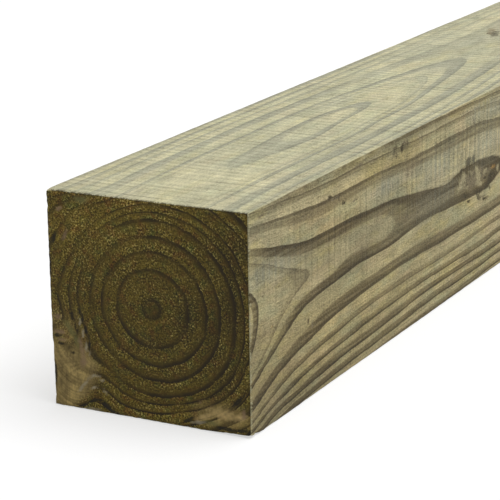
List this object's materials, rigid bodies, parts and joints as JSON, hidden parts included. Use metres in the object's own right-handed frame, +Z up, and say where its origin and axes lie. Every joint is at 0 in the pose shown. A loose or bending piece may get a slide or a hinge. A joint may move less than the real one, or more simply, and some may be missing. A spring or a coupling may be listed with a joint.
{
  "type": "treated pine timber",
  "caption": "Sawn length of square preservative-treated pine, rough on all sides, cut square at both ends, with the growth rings and knots of boxed-heart stock.",
  "frame": {"origin": "middle of the width and of the length, on the underside", "axes": "+X across the stock to the right of someone who looks at the near end, +Y along the stock away from the near end, +Z up through the section"},
  "size_m": [0.1, 1.8, 0.1],
  "materials": {
    "treated_pine": "rough sawn, preservative treated, unpainted"
  },
  "bodies": {
    "root": {"timber": "treated_pine"}
  },
  "joints": []
}
